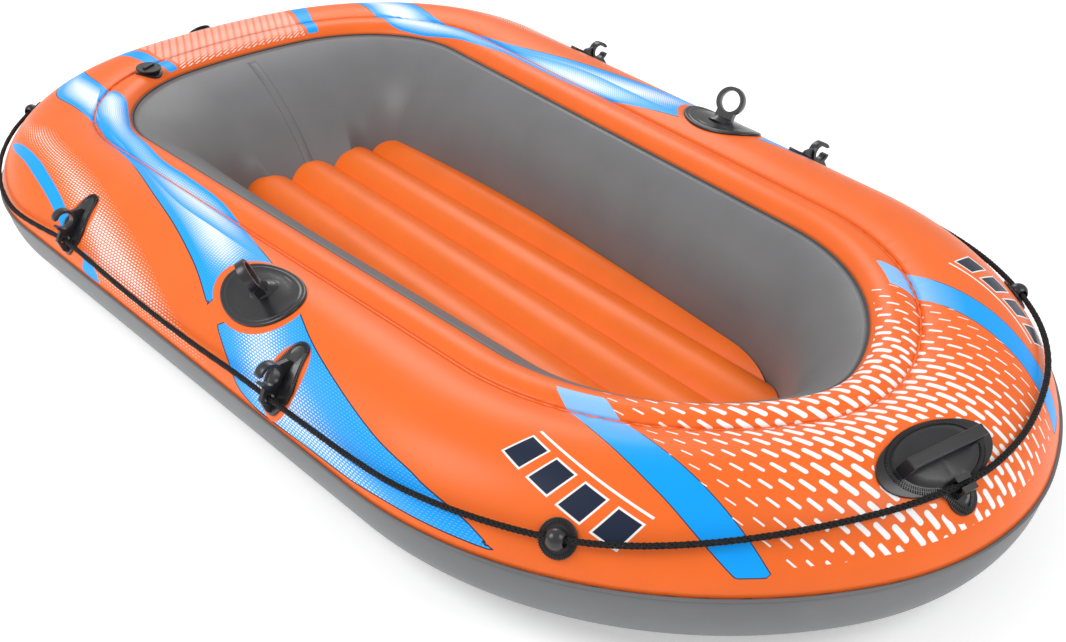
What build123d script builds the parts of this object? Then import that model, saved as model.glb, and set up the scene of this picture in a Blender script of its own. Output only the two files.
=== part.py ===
from build123d import *
import math
import os

# Two-person inflatable raft. Millimetres, +X to the bow, +Y to port, +Z up.
# Origin: on the ground, under the middle of the hull's length and beam.

# ---- plan of the hull, measured at its widest line -------------------------------------------
HULL_LENGTH = 1960.0
HULL_BEAM = 1110.0
SIDE_TAPER = 3.5                 # degrees that each side closes towards the bow
STERN_CROWN_RADIUS = 1040.0      # nearly flat middle of the stern
COCKPIT_CORNER_RADIUS = 135.0    # stern corners of the floor
COCKPIT_CORNER_SHARE = 0.85      # most of the floor's half width that a stern corner may take
COCKPIT_NOSE_RADIUS = 31.0       # bow end of the floor
SHOULDER_EXTRA_RADIUS = 222.0    # how much rounder the bow's shoulders are than its nose

# ---- section of the hull ---------------------------------------------------------------------
TUBE_RADIUS = 118.0              # lower half of the outer tube
SEAM_RISE = 2.0                  # outer weld above the tube's centre
CROWN_OFFSET = 125.0             # highest line of the outer tube, in from the widest line
CROWN_RISE = 103.0               # crown above the outer weld
GROOVE_RUN = 50.0                # from the crown in to the groove between the chambers
INNER_LOBE_WIDTH = 62.0          # groove to the inner edge weld
INNER_EDGE_DROP = 10.5           # inner edge weld below the groove
INNER_LOBE_BULGE = 13.0          # rise of the inner lobe over its chord
WALL_RUN = 98.0                  # how far the cockpit wall comes in from its top to the floor
WALL_BULGE = 34.0
FLOOR_EDGE_HEIGHT = 22.0
SHEET = 1.5                      # stands for welded film, so every sheet is a closed solid

# ---- welds -----------------------------------------------------------------------------------
WELD_FLANGE_WIDTH = 7.0
WELD_FLANGE_THICK = 2.0
WELD_BEAD_WIDTH = 3.0
WELD_BEAD_DEPTH = 5.0
WELD_GAP = 0.3                   # clear space between sheets that a weld joins
LAP_WIDTH = 14.0
LAP_THICK = 0.8
LAP_END = 4.0                    # degrees of the wall's arc left clear at each end of the lap

# ---- floor -----------------------------------------------------------------------------------
FLOOR_TUBES = 5
FLOOR_TUBE_PITCH = 92.0
FLOOR_VALLEY_HEIGHT = 30.0
FLOOR_RIDGE_RISE = 20.0
FLOOR_WEB_THICK = 1.5

# ---- fittings --------------------------------------------------------------------------------
PATCH_THICK = 2.4
PATCH_GAP = 0.4                  # weld film between a patch and the sheet
ROPE_DIAMETER = 8.0
ROPE_CLEARANCE = 3.0
KNOT_RADIUS = 9.0
ROPE_HEIGHT = 9.0                # rope's centre above the sheet in every fitting
OARLOCK_STATION = 130.0
OARLOCK_ANGLE = 74.0             # where on the tube, degrees up from level
OARLOCK_PATCH_LENGTH = 150.0
OARLOCK_PATCH_WIDTH = 105.0
OARLOCK_BORE_RADIUS = 17.5
OARLOCK_RING_WALL = 6.0
OARLOCK_RING_DEPTH = 13.0
OARLOCK_STEM = 12.0
OARLOCK_LEAN = 12.0              # further outboard than the sheet's normal
OARLOCK_TURN = 68.0              # the bore looks this far round from the boat's length
CLIP_AFT_STATION = -318.0
CLIP_FORWARD_STATION = 270.0
CLIP_ANGLE = 35.0
CLIP_PATCH_LENGTH = 96.0
CLIP_PATCH_WIDTH = 58.0
CLIP_PATCH_RISE = 8.0             # patch's middle above the clip's own place, up the slope
CLIP_FIN_LENGTH = 72.0
CLIP_CLASP_LIFT = 11.0           # clasp's middle above the clip's own place, up the slope
CLIP_ROPE_WALL = 4.0             # fin left round the rope's hole
CLIP_FOOT_SINK = 6.0             # fin carried down past the patch before it is trimmed to the tube
CLIP_FIN_THICK = 7.0
CLIP_BORE_RADIUS = 12.5
CLIP_WALL = 5.0
CLIP_DEPTH = 14.0
CLIP_RISE = 23.0
CLIP_MOUTH = 12.0
CLIP_MOUTH_ANGLE = 128.0
GROMMET_ANGLE = 32.0
GROMMET_PATCH_RADIUS = 22.0
GROMMET_DOME_RADIUS = 13.0
BOW_GROMMET_TURN = 58.0          # place round the bow shoulder, degrees from dead ahead
STERN_GROMMET_TURN = 43.0        # place round the stern corner, degrees from dead astern
HANDLE_ANGLE = 59.0
HANDLE_TURN = 5.0                # its place to starboard of dead ahead, degrees round the nose
HANDLE_PATCH_LENGTH = 164.0
HANDLE_PATCH_WIDTH = 80.0
HANDLE_PATCH_RISE = 11.0         # oval and bar above the handle's own place, up the slope
HANDLE_TAB_RADIUS = 20.0
HANDLE_TAB_DROP = 38.0
HANDLE_BAR_LENGTH = 112.0
HANDLE_BAR_WIDTH = 14.0
HANDLE_BAR_THICK = 6.0
HANDLE_FINGER_GAP = 17.0
HANDLE_EYE_DROP = 30.0
HANDLE_EYE_SIZE = 20.0

# ---- valves ----------------------------------------------------------------------------------
VALVE_BORE_RADIUS = 11.0
VALVE_NECK_WALL = 3.0
VALVE_NECK_DEPTH = 16.0
VALVE_FLANGE_RADIUS = 25.0
VALVE_NECK_RISE = 3.0
VALVE_HOLE_CLEARANCE = 0.4
CAP_RUNNING_CLEARANCE = 0.05
CAP_SPIGOT_DEPTH = 8.0
CAP_RADIUS = 23.0
CAP_THICK = 3.0
CAP_GRIP_LENGTH = 26.0
CAP_GRIP_WIDTH = 6.0
CAP_GRIP_HEIGHT = 4.0
GASKET_THICK = 1.2
GASKET_SEAT = 0.3                # clear space under the gasket and under the cap's rim
OUTER_VALVE_ANGLE = 50.0         # on the stern's outer face, degrees up from level
INNER_VALVE_TURN = 25.0          # place round the stern, degrees to starboard of dead astern
INNER_VALVE_ANGLE = 96.0         # on the inner lobe, degrees up from level
FLOOR_VALVE_STATION = 560.0
FLOOR_VALVE_BORE_RADIUS = 5.0
FLOOR_VALVE_FLANGE_RADIUS = 15.0

# ---- values worked out from the ones above ---------------------------------------------------
SEAM_HEIGHT = TUBE_RADIUS + SEAM_RISE
CROWN_HEIGHT = SEAM_HEIGHT + CROWN_RISE
# The top sheet's arc passes through the weld and is level at the crown.
TOP_RADIUS = (CROWN_OFFSET ** 2 + CROWN_RISE ** 2) / (2 * CROWN_RISE)
TOP_CENTRE = (CROWN_OFFSET, CROWN_HEIGHT - TOP_RADIUS)
GROOVE_OFFSET = CROWN_OFFSET + GROOVE_RUN
GROOVE_HEIGHT = TOP_CENTRE[1] + math.sqrt(TOP_RADIUS ** 2 - GROOVE_RUN ** 2)
INNER_EDGE_OFFSET = GROOVE_OFFSET + INNER_LOBE_WIDTH
INNER_EDGE_HEIGHT = GROOVE_HEIGHT - INNER_EDGE_DROP
FLOOR_EDGE_OFFSET = INNER_EDGE_OFFSET + WALL_RUN
FLOOR_HALF_WIDTH = HULL_BEAM / 2 - FLOOR_EDGE_OFFSET
STERN_CORNER_RADIUS = FLOOR_EDGE_OFFSET + min(COCKPIT_CORNER_RADIUS, FLOOR_HALF_WIDTH * COCKPIT_CORNER_SHARE)
BOW_NOSE_RADIUS = FLOOR_EDGE_OFFSET + COCKPIT_NOSE_RADIUS
BOW_SHOULDER_RADIUS = BOW_NOSE_RADIUS + SHOULDER_EXTRA_RADIUS
ROPE_HOLE_RADIUS = ROPE_DIAMETER / 2 + ROPE_CLEARANCE
TAPER = math.radians(SIDE_TAPER)


# ---- plan outline: arcs and two straight sides, all tangent ----------------------------------
def plan_centres():
    """Centres of the stern crown, port stern corner, port bow shoulder and bow nose arcs."""
    crown = Vector(-HULL_LENGTH / 2 + STERN_CROWN_RADIUS, 0)
    corner_y = HULL_BEAM / 2 - STERN_CORNER_RADIUS
    reach = STERN_CROWN_RADIUS - STERN_CORNER_RADIUS
    corner = Vector(crown.X - math.sqrt(reach ** 2 - corner_y ** 2), corner_y)
    nose = Vector(HULL_LENGTH / 2 - BOW_NOSE_RADIUS, 0)
    normal = Vector(math.sin(TAPER), math.cos(TAPER))
    along = Vector(math.cos(TAPER), -math.sin(TAPER))
    level = corner.dot(normal) + STERN_CORNER_RADIUS - BOW_SHOULDER_RADIUS
    gap = nose - normal * level
    run = gap.dot(along)
    off_line = (gap - along * run).length
    shoulder = normal * level + along * (run - math.sqrt(SHOULDER_EXTRA_RADIUS ** 2 - off_line ** 2))
    return crown, corner, shoulder, nose


CROWN, CORNER, SHOULDER, NOSE = plan_centres()


def bearing(vector):
    return math.degrees(math.atan2(vector.Y, vector.X))


SIDE_BEARING = 90.0 - SIDE_TAPER
CORNER_BEARING = bearing(CORNER - CROWN)
NOSE_BEARING = bearing(NOSE - SHOULDER)
SIDE_AFT = CORNER + Vector(math.cos(math.radians(SIDE_BEARING)),
                           math.sin(math.radians(SIDE_BEARING))) * STERN_CORNER_RADIUS
SIDE_FORE = SHOULDER + Vector(math.cos(math.radians(SIDE_BEARING)),
                              math.sin(math.radians(SIDE_BEARING))) * BOW_SHOULDER_RADIUS


def flip(point):
    return Vector(point.X, -point.Y)


# Each arc: centre, radius, first bearing, last bearing of its outward normal.
ARCS = {
    "nose": (NOSE, BOW_NOSE_RADIUS, -NOSE_BEARING, NOSE_BEARING),
    "shoulder_port": (SHOULDER, BOW_SHOULDER_RADIUS, NOSE_BEARING, SIDE_BEARING),
    "corner_port": (CORNER, STERN_CORNER_RADIUS, SIDE_BEARING, CORNER_BEARING),
    "crown": (CROWN, STERN_CROWN_RADIUS, CORNER_BEARING, 360.0 - CORNER_BEARING),
    "corner_starboard": (flip(CORNER), STERN_CORNER_RADIUS, -CORNER_BEARING, -SIDE_BEARING),
    "shoulder_starboard": (flip(SHOULDER), BOW_SHOULDER_RADIUS, -SIDE_BEARING, -NOSE_BEARING),
}
# Each straight side: its first point, last point and the bearing of its outward normal.
SIDES = {
    "side_port": (SIDE_FORE, SIDE_AFT, SIDE_BEARING),
    "side_starboard": (flip(SIDE_AFT), flip(SIDE_FORE), -SIDE_BEARING),
}


def section_plane(point, outward):
    """Plane whose local x is the distance in from the widest line and local y is the height."""
    direction = math.radians(outward)
    inward = Vector(-math.cos(direction), -math.sin(direction), 0)
    return Plane(origin=(point.X, point.Y, 0), x_dir=inward, z_dir=inward.cross(Vector(0, 0, 1)))


def arc_piece(profile, centre, radius, first, last):
    """The profile carried round an arc from its first bearing to its last."""
    start = Vector(math.cos(math.radians(first)), math.sin(math.radians(first)))
    face = section_plane(centre + start * radius, first) * profile
    return revolve(face, axis=Axis((centre.X, centre.Y, 0), (0, 0, 1)), revolution_arc=last - first)


def ring_piece(profile, name):
    """The profile carried round one arc or along one side of the plan."""
    if name in SIDES:
        first, last, outward = SIDES[name]
        face = section_plane(first, outward) * profile
        return extrude(face, amount=(last - first).length, dir=(last - first).normalized())
    return arc_piece(profile, *ARCS[name])


def ring(profile, names=tuple(ARCS) + tuple(SIDES)):
    pieces = [ring_piece(profile, name) for name in names]
    return pieces[0] if len(pieces) == 1 else pieces[0].fuse(*pieces[1:])


# ---- section profiles, in section-plane coordinates ------------------------------------------
def circle_x(centre, radius, height, side):
    return centre[0] + side * math.sqrt(radius ** 2 - (height - centre[1]) ** 2)


def circle_z(centre, radius, offset):
    return centre[1] + math.sqrt(radius ** 2 - (offset - centre[0]) ** 2)


def polar(centre, radius, degrees_up):
    """Point on a circle, measured up from its outboard side."""
    angle = math.radians(degrees_up)
    return (centre[0] - radius * math.cos(angle), centre[1] + radius * math.sin(angle))


def elevation(centre, point):
    return math.degrees(math.atan2(point[1] - centre[1], centre[0] - point[0])) % 360.0


def strip(centre, outer_first, outer_last, inner_first, inner_last, radius, inner_radius):
    """Curved strip between two arcs about one centre, closed by straight ends."""
    outer_mid = (elevation(centre, outer_first) + elevation(centre, outer_last)) / 2
    inner_mid = (elevation(centre, inner_first) + elevation(centre, inner_last)) / 2
    outer = ThreePointArc(outer_first, polar(centre, radius, outer_mid), outer_last)
    inner = ThreePointArc(inner_last, polar(centre, inner_radius, inner_mid), inner_first)
    return make_face([outer, Line(outer_last, inner_last), inner, Line(inner_first, outer_first)])


def band(centre, radius, thickness, first, last):
    """Strip between two elevations, with radial ends."""
    return strip(centre, polar(centre, radius, first), polar(centre, radius, last),
                 polar(centre, radius - thickness, first), polar(centre, radius - thickness, last),
                 radius, radius - thickness)


def bulged_circle(start, end, bulge):
    """Centre and radius of the arc from start to end that rises by bulge above its chord."""
    chord = math.dist(start, end)
    radius = (chord ** 2 / 4 + bulge ** 2) / (2 * bulge)
    middle = ((start[0] + end[0]) / 2, (start[1] + end[1]) / 2)
    along = ((end[0] - start[0]) / chord, (end[1] - start[1]) / chord)
    below = (along[1], -along[0])
    depth = radius - bulge
    return (middle[0] + below[0] * depth, middle[1] + below[1] * depth), radius


HALF_FLANGE = WELD_FLANGE_THICK / 2 + WELD_GAP
HALF_BEAD = WELD_BEAD_WIDTH / 2 + WELD_GAP


def outer_top_profile():
    low = SEAM_HEIGHT + HALF_FLANGE
    end = GROOVE_OFFSET - HALF_BEAD
    inner = TOP_RADIUS - SHEET
    return strip(TOP_CENTRE,
                 (circle_x(TOP_CENTRE, TOP_RADIUS, low, -1), low),
                 (end, circle_z(TOP_CENTRE, TOP_RADIUS, end)),
                 (circle_x(TOP_CENTRE, inner, low, -1), low),
                 (end, circle_z(TOP_CENTRE, inner, end)), TOP_RADIUS, inner)


def outer_bottom_profile():
    centre = (TUBE_RADIUS, TUBE_RADIUS)
    high = SEAM_HEIGHT - HALF_FLANGE
    inner = TUBE_RADIUS - SHEET
    end = FLOOR_EDGE_OFFSET - WELD_GAP
    outer_start = (circle_x(centre, TUBE_RADIUS, high, -1), high)
    inner_start = (circle_x(centre, inner, high, -1), high)
    outer = ThreePointArc(outer_start, polar(centre, TUBE_RADIUS, -45.0), (TUBE_RADIUS, 0))
    back = ThreePointArc((TUBE_RADIUS, SHEET), polar(centre, inner, -45.0), inner_start)
    return make_face([outer, Line((TUBE_RADIUS, 0), (end, 0)), Line((end, 0), (end, SHEET)),
                      Line((end, SHEET), (TUBE_RADIUS, SHEET)), back, Line(inner_start, outer_start)])


LOBE_CENTRE, LOBE_RADIUS = bulged_circle((GROOVE_OFFSET, GROOVE_HEIGHT),
                                         (INNER_EDGE_OFFSET, INNER_EDGE_HEIGHT), INNER_LOBE_BULGE)
WALL_CENTRE, WALL_RADIUS = bulged_circle((INNER_EDGE_OFFSET, INNER_EDGE_HEIGHT),
                                         (FLOOR_EDGE_OFFSET, FLOOR_EDGE_HEIGHT), WALL_BULGE)


def inner_top_profile():
    first = GROOVE_OFFSET + HALF_BEAD
    last = INNER_EDGE_OFFSET - HALF_BEAD
    inner = LOBE_RADIUS - SHEET
    return strip(LOBE_CENTRE,
                 (first, circle_z(LOBE_CENTRE, LOBE_RADIUS, first)),
                 (last, circle_z(LOBE_CENTRE, LOBE_RADIUS, last)),
                 (first, circle_z(LOBE_CENTRE, inner, first)),
                 (last, circle_z(LOBE_CENTRE, inner, last)), LOBE_RADIUS, inner)


def inner_wall_profile():
    first = INNER_EDGE_OFFSET + HALF_BEAD
    inner = WALL_RADIUS - SHEET
    low = SHEET + WELD_GAP
    edge = polar(WALL_CENTRE, WALL_RADIUS, elevation(WALL_CENTRE, (FLOOR_EDGE_OFFSET, FLOOR_EDGE_HEIGHT)))
    start = (first, circle_z(WALL_CENTRE, WALL_RADIUS, first))
    start_in = (first, circle_z(WALL_CENTRE, inner, first))
    edge_in = (circle_x(WALL_CENTRE, inner, edge[1], 1), edge[1])
    middle = (elevation(WALL_CENTRE, start) + elevation(WALL_CENTRE, edge)) / 2
    outer = ThreePointArc(start, polar(WALL_CENTRE, WALL_RADIUS, middle), edge)
    back = ThreePointArc(edge_in, polar(WALL_CENTRE, inner, middle), start_in)
    foot = (edge[0], low)
    foot_in = (edge_in[0], low)
    return make_face([outer, Line(edge, foot), Line(foot, foot_in), Line(foot_in, edge_in), back,
                      Line(start_in, start)])


def box_profile(left, bottom, right, top):
    return make_face(Polyline((left, bottom), (right, bottom), (right, top), (left, top), close=True))


def wall_lap_seam():
    """Overlap of the cockpit wall sheet, dead astern."""
    first = elevation(WALL_CENTRE, (INNER_EDGE_OFFSET, INNER_EDGE_HEIGHT)) + LAP_END
    last = elevation(WALL_CENTRE, (FLOOR_EDGE_OFFSET, FLOOR_EDGE_HEIGHT)) - LAP_END
    profile = band(WALL_CENTRE, WALL_RADIUS + PATCH_GAP + LAP_THICK, LAP_THICK, first, last)
    centre, radius, _, _ = ARCS["crown"]
    half = math.degrees(LAP_WIDTH / 2 / (radius - INNER_EDGE_OFFSET))
    return arc_piece(profile, centre, radius, 180.0 - half, 180.0 + half)


def divider_profile():
    top = GROOVE_HEIGHT - WELD_BEAD_DEPTH - WELD_GAP
    return box_profile(GROOVE_OFFSET - SHEET / 2, SHEET + WELD_GAP, GROOVE_OFFSET + SHEET / 2, top)


def perimeter_weld_profile():
    reach = circle_x(TOP_CENTRE, TOP_RADIUS, SEAM_HEIGHT, -1)
    return box_profile(reach - WELD_FLANGE_WIDTH, SEAM_HEIGHT - WELD_FLANGE_THICK / 2,
                       reach + SHEET * 2, SEAM_HEIGHT + WELD_FLANGE_THICK / 2)


def bead_profile(offset, height):
    half = WELD_BEAD_WIDTH / 2
    return box_profile(offset - half, height - WELD_BEAD_DEPTH, offset + half, height)


# ---- floor -----------------------------------------------------------------------------------
def plan_face(offset):
    """Area inside the plan outline moved in by offset."""
    edges = []
    for centre, radius, first, last in ARCS.values():
        edges.append(CenterArc((centre.X, centre.Y), radius - offset, first, last - first))
    for first, last, outward in SIDES.values():
        direction = math.radians(outward)
        shift = Vector(math.cos(direction), math.sin(direction)) * offset
        edges.append(Line(first - shift, last - shift))
    return make_face(edges)


def floor_sheet_profile():
    """Ridged strip across the floor: one arc over each tube, its valleys at the webs."""
    half = FLOOR_TUBE_PITCH / 2
    upper = []
    lower = []
    for tube in range(FLOOR_TUBES):
        middle = (tube - (FLOOR_TUBES - 1) / 2) * FLOOR_TUBE_PITCH
        valley = FLOOR_VALLEY_HEIGHT
        upper.append(ThreePointArc((middle - half, valley), (middle, valley + FLOOR_RIDGE_RISE),
                                   (middle + half, valley)))
        lower.append(ThreePointArc((middle + half, valley - SHEET),
                                   (middle, valley + FLOOR_RIDGE_RISE - SHEET),
                                   (middle - half, valley - SHEET)))
    edge = half * FLOOR_TUBES
    ends = [Line((edge, FLOOR_VALLEY_HEIGHT), (edge, FLOOR_VALLEY_HEIGHT - SHEET)),
            Line((-edge, FLOOR_VALLEY_HEIGHT - SHEET), (-edge, FLOOR_VALLEY_HEIGHT))]
    return make_face(upper + lower + ends)


def across_boat(profile, length=HULL_LENGTH):
    """A profile drawn across the boat and carried along its whole length."""
    plane = Plane(origin=(-length / 2, 0, 0), x_dir=(0, 1, 0), z_dir=(1, 0, 0))
    return extrude(plane * profile, amount=length)


def floor_pieces():
    # The wall bulges a little over the floor's edge, so the floor stops clear of its lap as well.
    wall_reach = WALL_CENTRE[0] + WALL_RADIUS + PATCH_GAP + LAP_THICK + WELD_GAP
    inset = max(FLOOR_EDGE_OFFSET + WELD_GAP + SHEET + WELD_GAP, wall_reach)
    inside = extrude(plan_face(inset), amount=CROWN_HEIGHT)
    top = across_boat(floor_sheet_profile()) & inside
    bottom = extrude(plan_face(FLOOR_EDGE_OFFSET + WELD_GAP), amount=SHEET)
    webs = []
    for web in range(FLOOR_TUBES - 1):
        middle = (web + 1 - FLOOR_TUBES / 2) * FLOOR_TUBE_PITCH
        plate = box_profile(middle - FLOOR_WEB_THICK / 2, SHEET + WELD_GAP,
                            middle + FLOOR_WEB_THICK / 2, FLOOR_VALLEY_HEIGHT - SHEET - WELD_GAP)
        webs.append(across_boat(plate) & inside)
    edge = box_profile(FLOOR_EDGE_OFFSET + WELD_GAP, SHEET + WELD_GAP,
                       FLOOR_EDGE_OFFSET + WELD_GAP + SHEET, FLOOR_EDGE_HEIGHT)
    return top, bottom, Compound(children=webs), ring(edge)


# ---- places on the hull ----------------------------------------------------------------------
TOP = (TOP_CENTRE, TOP_RADIUS)
LOBE = (LOBE_CENTRE, LOBE_RADIUS)


def hull_plane(point, outward, degrees_up, surface=TOP):
    """Plane on a round sheet: local x to the right seen from outside, y up the slope, z out."""
    centre, radius = surface
    direction = math.radians(outward)
    angle = math.radians(degrees_up)
    out = Vector(math.cos(direction), math.sin(direction), 0)
    normal = out * math.cos(angle) + Vector(0, 0, 1) * math.sin(angle)
    uphill = Vector(0, 0, 1) * math.cos(angle) - out * math.sin(angle)
    offset, height = polar(centre, radius, degrees_up)
    origin = point - out * offset + Vector(0, 0, height)
    return Plane(origin=origin, x_dir=uphill.cross(normal), z_dir=normal)


def side_point(station):
    """Point on the starboard side's widest line."""
    first, last, _ = SIDES["side_starboard"]
    share = (station - first.X) / (last.X - first.X)
    return first + (last - first) * share


def arc_point(name, outward):
    centre, radius, _, _ = ARCS[name]
    direction = math.radians(outward)
    return centre + Vector(math.cos(direction), math.sin(direction)) * radius


BAND_LOW = 5.0                   # elevations between which patches and trims are made
BAND_HIGH = 145.0


def curved_patch(outline, plane, names, surface=TOP):
    """Sheet of the outline's shape that lies on a round sheet of the hull."""
    centre, radius = surface
    skin = ring(band(centre, radius + PATCH_GAP + PATCH_THICK, PATCH_THICK, BAND_LOW, BAND_HIGH), names)
    reach = radius * 0.9
    return skin & extrude(plane * Pos(0, 0, -reach / 2) * outline, amount=reach * 1.5)


def tube_core(names, surface=TOP):
    """Solid up to the middle of a patch's thickness, to trim the fittings that stand on it."""
    centre, radius = surface
    level = radius + PATCH_GAP + PATCH_THICK / 2
    return ring(band(centre, level, level * 0.4, BAND_LOW, BAND_HIGH), names)


PORT = Plane.XZ


def both_sides(part):
    return {"starboard": part, "port": mirror(part, about=PORT)}


# ---- oarlocks --------------------------------------------------------------------------------
def oarlock_plane():
    return hull_plane(side_point(OARLOCK_STATION), -SIDE_BEARING, OARLOCK_ANGLE)


OARLOCK_CENTRE_RISE = OARLOCK_STEM + OARLOCK_BORE_RADIUS + OARLOCK_RING_WALL
OARLOCK_TILT = Rot(OARLOCK_LEAN, 0, 0) * Rot(0, 0, OARLOCK_TURN)


def oarlock():
    names = ["side_starboard"]
    plane = oarlock_plane()
    patch = curved_patch(Ellipse(OARLOCK_PATCH_LENGTH / 2, OARLOCK_PATCH_WIDTH / 2), plane, names)
    centre = Pos(0, 0, OARLOCK_CENTRE_RISE)
    outer = OARLOCK_BORE_RADIUS + OARLOCK_RING_WALL
    ring_body = centre * Rot(0, 90, 0) * Cylinder(outer, OARLOCK_RING_DEPTH)
    stem = Pos(0, 0, OARLOCK_STEM / 2) * Box(OARLOCK_RING_DEPTH, outer * 1.3, OARLOCK_STEM * 2)
    foot = Pos(0, 0, OARLOCK_RING_WALL / 2) * Cone(outer, outer * 0.6, OARLOCK_RING_WALL * 1.5)
    bore = centre * Rot(0, 90, 0) * Cylinder(OARLOCK_BORE_RADIUS, OARLOCK_RING_DEPTH * 3)
    upright = plane * OARLOCK_TILT * (ring_body + stem + foot - bore)
    upright = upright - tube_core(names)
    return patch + upright


# ---- oar clips -------------------------------------------------------------------------------
def clip_plane(station):
    return hull_plane(side_point(station), -SIDE_BEARING, CLIP_ANGLE)


CLIP_ROPE_DROP = 18.0            # rope hole below the patch's middle, down the slope


def oar_clip(station):
    names = ["side_starboard"]
    plane = clip_plane(station)
    high = CLIP_PATCH_RISE + CLIP_PATCH_LENGTH / 2
    low = CLIP_PATCH_RISE - CLIP_PATCH_LENGTH / 2
    tip = CLIP_PATCH_WIDTH * 0.25
    corner = CLIP_PATCH_WIDTH * 0.3
    lobes = [Pos(0, high - tip) * Circle(tip), Pos(0, low + tip) * Circle(tip),
             Pos(-CLIP_PATCH_WIDTH / 2 + corner, low + 2 * corner) * Circle(corner),
             Pos(CLIP_PATCH_WIDTH / 2 - corner, low + 2 * corner) * Circle(corner)]
    outline = make_hull([lobe.edge() for lobe in lobes])
    foot = CLIP_FIN_LENGTH / 2
    patch = curved_patch(outline, plane, names)
    outer = CLIP_BORE_RADIUS + CLIP_WALL
    centre = Pos(0, CLIP_CLASP_LIFT, CLIP_RISE)
    across = Rot(0, 90, 0)
    fin_plane = Plane(origin=(-CLIP_FIN_THICK / 2, 0, 0), x_dir=(0, 1, 0), z_dir=(1, 0, 0))
    shoulder = (-CLIP_ROPE_DROP - ROPE_HOLE_RADIUS, ROPE_HEIGHT + ROPE_HOLE_RADIUS + CLIP_ROPE_WALL)
    fin_sketch = make_face(Polyline((-foot, -CLIP_FOOT_SINK), (foot, -CLIP_FOOT_SINK), (foot, PATCH_THICK * 2),
                                    (CLIP_CLASP_LIFT + CLIP_BORE_RADIUS, CLIP_RISE),
                                    (CLIP_CLASP_LIFT - CLIP_BORE_RADIUS, CLIP_RISE), shoulder,
                                    (-foot, PATCH_THICK * 2), close=True))
    fin = extrude(fin_plane * fin_sketch, amount=CLIP_FIN_THICK)
    clasp = centre * across * Cylinder(outer, CLIP_DEPTH)
    bore = centre * across * Cylinder(CLIP_BORE_RADIUS, CLIP_DEPTH * 3)
    slot = Pos(0, 0, outer) * Box(CLIP_DEPTH * 3, CLIP_MOUTH, 2 * outer)
    mouth = centre * Rot(CLIP_MOUTH_ANGLE - 90, 0, 0) * slot
    rope_hole = Pos(0, -CLIP_ROPE_DROP, ROPE_HEIGHT) * across * Cylinder(ROPE_HOLE_RADIUS, CLIP_DEPTH * 3)
    upright = plane * (fin + clasp - bore - mouth - rope_hole)
    upright = upright - tube_core(names)
    return patch + upright


# ---- rope grommets ---------------------------------------------------------------------------
def grommet(name, outward):
    plane = hull_plane(arc_point(name, outward), outward, GROMMET_ANGLE)
    patch = curved_patch(Circle(GROMMET_PATCH_RADIUS), plane, [name])
    dome = Pos(0, 0, ROPE_HEIGHT - 2.0) * Sphere(GROMMET_DOME_RADIUS)
    hole = Pos(0, 0, ROPE_HEIGHT) * Rot(0, 90, 0) * Cylinder(ROPE_HOLE_RADIUS, GROMMET_DOME_RADIUS * 4)
    upright = plane * (dome - hole) - tube_core([name])
    return patch + upright


# ---- bow handle ------------------------------------------------------------------------------
def handle_plane():
    return hull_plane(arc_point("nose", -HANDLE_TURN), -HANDLE_TURN, HANDLE_ANGLE)


def bow_handle():
    plane = handle_plane()
    oval = Pos(0, HANDLE_PATCH_RISE) * Ellipse(HANDLE_PATCH_LENGTH / 2, HANDLE_PATCH_WIDTH / 2)
    tab = Pos(0, -HANDLE_TAB_DROP) * Circle(HANDLE_TAB_RADIUS)
    neck = Pos(0, -HANDLE_TAB_DROP / 2) * Rectangle(HANDLE_TAB_RADIUS * 2, HANDLE_TAB_DROP)
    names = ["nose", "shoulder_port", "shoulder_starboard"]
    patch = curved_patch(oval + neck + tab, plane, names)
    base = PATCH_GAP + PATCH_THICK
    top = base + HANDLE_FINGER_GAP
    leg = HANDLE_BAR_THICK * 1.4
    bar = Box(HANDLE_BAR_LENGTH, HANDLE_BAR_WIDTH, HANDLE_BAR_THICK)
    bar = Pos(0, HANDLE_PATCH_RISE, top + HANDLE_BAR_THICK / 2) * fillet(bar.edges(), HANDLE_BAR_THICK * 0.3)
    legs = Pos(0, HANDLE_PATCH_RISE, 0) * GridLocations(HANDLE_BAR_LENGTH - leg, 0, 2, 1)
    posts = [spot * Pos(0, 0, top / 2 - 4.0) * Box(leg, HANDLE_BAR_WIDTH, top + 10.0) for spot in legs]
    eye = Pos(0, -HANDLE_EYE_DROP, ROPE_HEIGHT / 2) * Box(HANDLE_EYE_SIZE, HANDLE_EYE_SIZE, ROPE_HEIGHT * 2.4)
    hole = Pos(0, -HANDLE_EYE_DROP, ROPE_HEIGHT) * Rot(0, 90, 0) * Cylinder(ROPE_HOLE_RADIUS, 60.0)
    upright = bar + posts + eye - hole
    upright = plane * upright - tube_core(names)
    return patch + upright


# ---- valves ----------------------------------------------------------------------------------
def valve_seat_neck(bore, wall):
    height = VALVE_NECK_RISE + VALVE_NECK_DEPTH
    neck = Pos(0, 0, (VALVE_NECK_RISE - VALVE_NECK_DEPTH) / 2) * Cylinder(bore + wall, height)
    return neck - Pos(0, 0, (VALVE_NECK_RISE - VALVE_NECK_DEPTH) / 2) * Cylinder(bore, height * 2)


def valve_gasket():
    bottom = VALVE_NECK_RISE + GASKET_SEAT
    outer = VALVE_BORE_RADIUS + VALVE_NECK_WALL
    inner = VALVE_BORE_RADIUS + 2 * GASKET_SEAT
    return Pos(0, 0, bottom + GASKET_THICK / 2) * (Cylinder(outer, GASKET_THICK)
                                                    - Cylinder(inner, GASKET_THICK * 2))


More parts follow.
